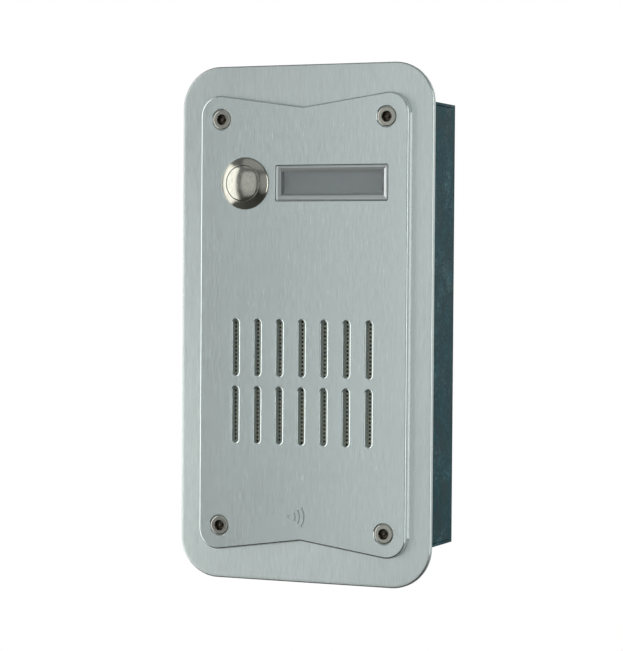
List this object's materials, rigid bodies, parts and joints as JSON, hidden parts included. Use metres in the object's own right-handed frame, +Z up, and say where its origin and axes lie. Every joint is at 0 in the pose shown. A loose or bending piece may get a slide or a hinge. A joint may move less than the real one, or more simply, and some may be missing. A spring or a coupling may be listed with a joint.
{
  "type": "door intercom panel",
  "caption": "Flush-mounted door entry panel: milled aluminium plates, call button, lit name window, slotted speaker grille and a sheet-metal back box.",
  "frame": {"origin": "centre of the surround plate's rear face, on the finished wall", "axes": "+X right as seen from in front, +Y into the wall, +Z up"},
  "size_m": [0.1184, 0.0565, 0.225],
  "materials": {
    "brushed_aluminium": "vertically brushed, clear anodised",
    "galvanised_sheet": "dark galvanised and passivated steel sheet, mottled",
    "stainless_steel": "turned and polished stainless steel",
    "polished_nickel": "polished nickel-plated brass",
    "zinc_plate": "bright zinc plate",
    "spring_steel": "drawn spring wire",
    "grille_steel": "perforated steel sheet, grey",
    "black_cloth": "thin woven acoustic cloth",
    "black_rubber": "moulded rubber, matt",
    "nylon": "natural nylon",
    "brass": "plain brass",
    "frame_steel": "dark passivated pressed steel",
    "ferrite": "sintered ferrite",
    "paper_cone": "black pressed paper",
    "spider_cloth": "resin-stiffened cloth",
    "phenolic": "laminated phenolic",
    "enamelled_copper": "enamelled copper winding",
    "clear_window": "clear polycarbonate, polished",
    "label_card": "blank grey label card",
    "black_plastic": "moulded black plastic",
    "opal_acrylic": "opal light-spreading acrylic",
    "led_lens": "clear lens over a yellow phosphor",
    "circuit_board": "glass-fibre board with green solder mask",
    "terminal_green": "moulded green plastic",
    "laminated_core": "stacked iron laminations round a taped coil",
    "capacitor_sleeve": "shrink sleeve over an aluminium can",
    "trimmer_blue": "moulded blue plastic",
    "rotor_white": "moulded white plastic",
    "capsule_metal": "drawn aluminium can",
    "button_lead": "PVC-insulated wire, red",
    "speaker_lead": "PVC-insulated wire, yellow",
    "lamp_lead": "PVC-insulated wire, orange",
    "mic_lead": "PVC-insulated wire, white"
  },
  "bodies": {
    "back_box": {"back_box": "galvanised_sheet", "surround_plate": "brushed_aluminium", "surround_screws": "zinc_plate", "tab_nuts": "zinc_plate", "cover_nuts": "zinc_plate", "cable_grommet": "black_rubber", "earth_stud": "brass", "earth_nut": "brass"},
    "front_panel": {"front_plate": "brushed_aluminium", "cover_screws": "stainless_steel", "retaining_washers": "nylon", "panel_gasket": "black_rubber", "weld_studs": "zinc_plate", "stud_nuts": "zinc_plate", "grille_mesh": "grille_steel", "acoustic_cloth": "black_cloth", "grille_clamp": "zinc_plate", "speaker_gasket": "black_rubber", "speaker_frame": "frame_steel", "speaker_surround": "black_rubber", "speaker_spider": "spider_cloth", "speaker_magnet": "ferrite", "speaker_pole_pieces": "zinc_plate", "speaker_tag_strip": "phenolic", "speaker_tags": "brass", "button_body": "polished_nickel", "button_seal": "black_rubber", "button_nut": "zinc_plate", "button_housing": "black_plastic", "button_terminals": "brass", "name_window": "clear_window", "card_holder": "black_plastic", "light_guide": "opal_acrylic", "lamp_board": "circuit_board", "lamp_leds": "led_lens", "main_board": "circuit_board", "board_spacers": "zinc_plate", "board_screws": "zinc_plate", "line_terminals": "terminal_green", "terminal_screws": "zinc_plate", "audio_transformer": "laminated_core", "capacitors": "capacitor_sleeve", "amplifier_chips": "black_plastic", "board_headers": "nylon", "trimmer_bodies": "trimmer_blue", "mic_boot": "black_rubber", "microphone": "capsule_metal", "button_leads": "button_lead", "speaker_leads": "speaker_lead", "lamp_leads": "lamp_lead", "mic_leads": "mic_lead"},
    "call_button": {"button_cap": "polished_nickel", "button_circlip": "spring_steel", "contact_bridge": "brass", "button_spring": "spring_steel"},
    "speaker_cone": {"speaker_cone": "paper_cone", "voice_coil": "enamelled_copper"},
    "volume_rotor": {"volume_rotor": "rotor_white"},
    "mic_gain_rotor": {"mic_gain_rotor": "rotor_white"},
    "name_card": {"name_card": "label_card"}
  },
  "joints": [
    {"name": "panel_pull_off", "type": "slide", "parent": "back_box", "child": "front_panel", "axis": [0, -1, 0], "range_m": [0, 0.07]},
    {"name": "call_press", "type": "slide", "parent": "front_panel", "child": "call_button", "axis": [0, 1, 0], "range_m": [0, 0.0018], "stiffness_N_per_m": 900, "springref_m": -0.0022, "deforming": ["button_spring"]},
    {"name": "cone_excursion", "type": "slide", "parent": "front_panel", "child": "speaker_cone", "axis": [0, 1, 0], "range_m": [-0.0005, 0.0005], "stiffness_N_per_m": 1500},
    {"name": "volume_adjust", "type": "hinge", "parent": "front_panel", "child": "volume_rotor", "pos_m": [-0.026, 0.0146, -0.054], "axis": [0, 1, 0], "range_deg": [-135, 135]},
    {"name": "mic_gain_adjust", "type": "hinge", "parent": "front_panel", "child": "mic_gain_rotor", "pos_m": [0.026, 0.0146, -0.054], "axis": [0, 1, 0], "range_deg": [-135, 135]},
    {"name": "card_change", "type": "slide", "parent": "front_panel", "child": "name_card", "axis": [0, 0, -1], "range_m": [0, 0.018]}
  ]
}
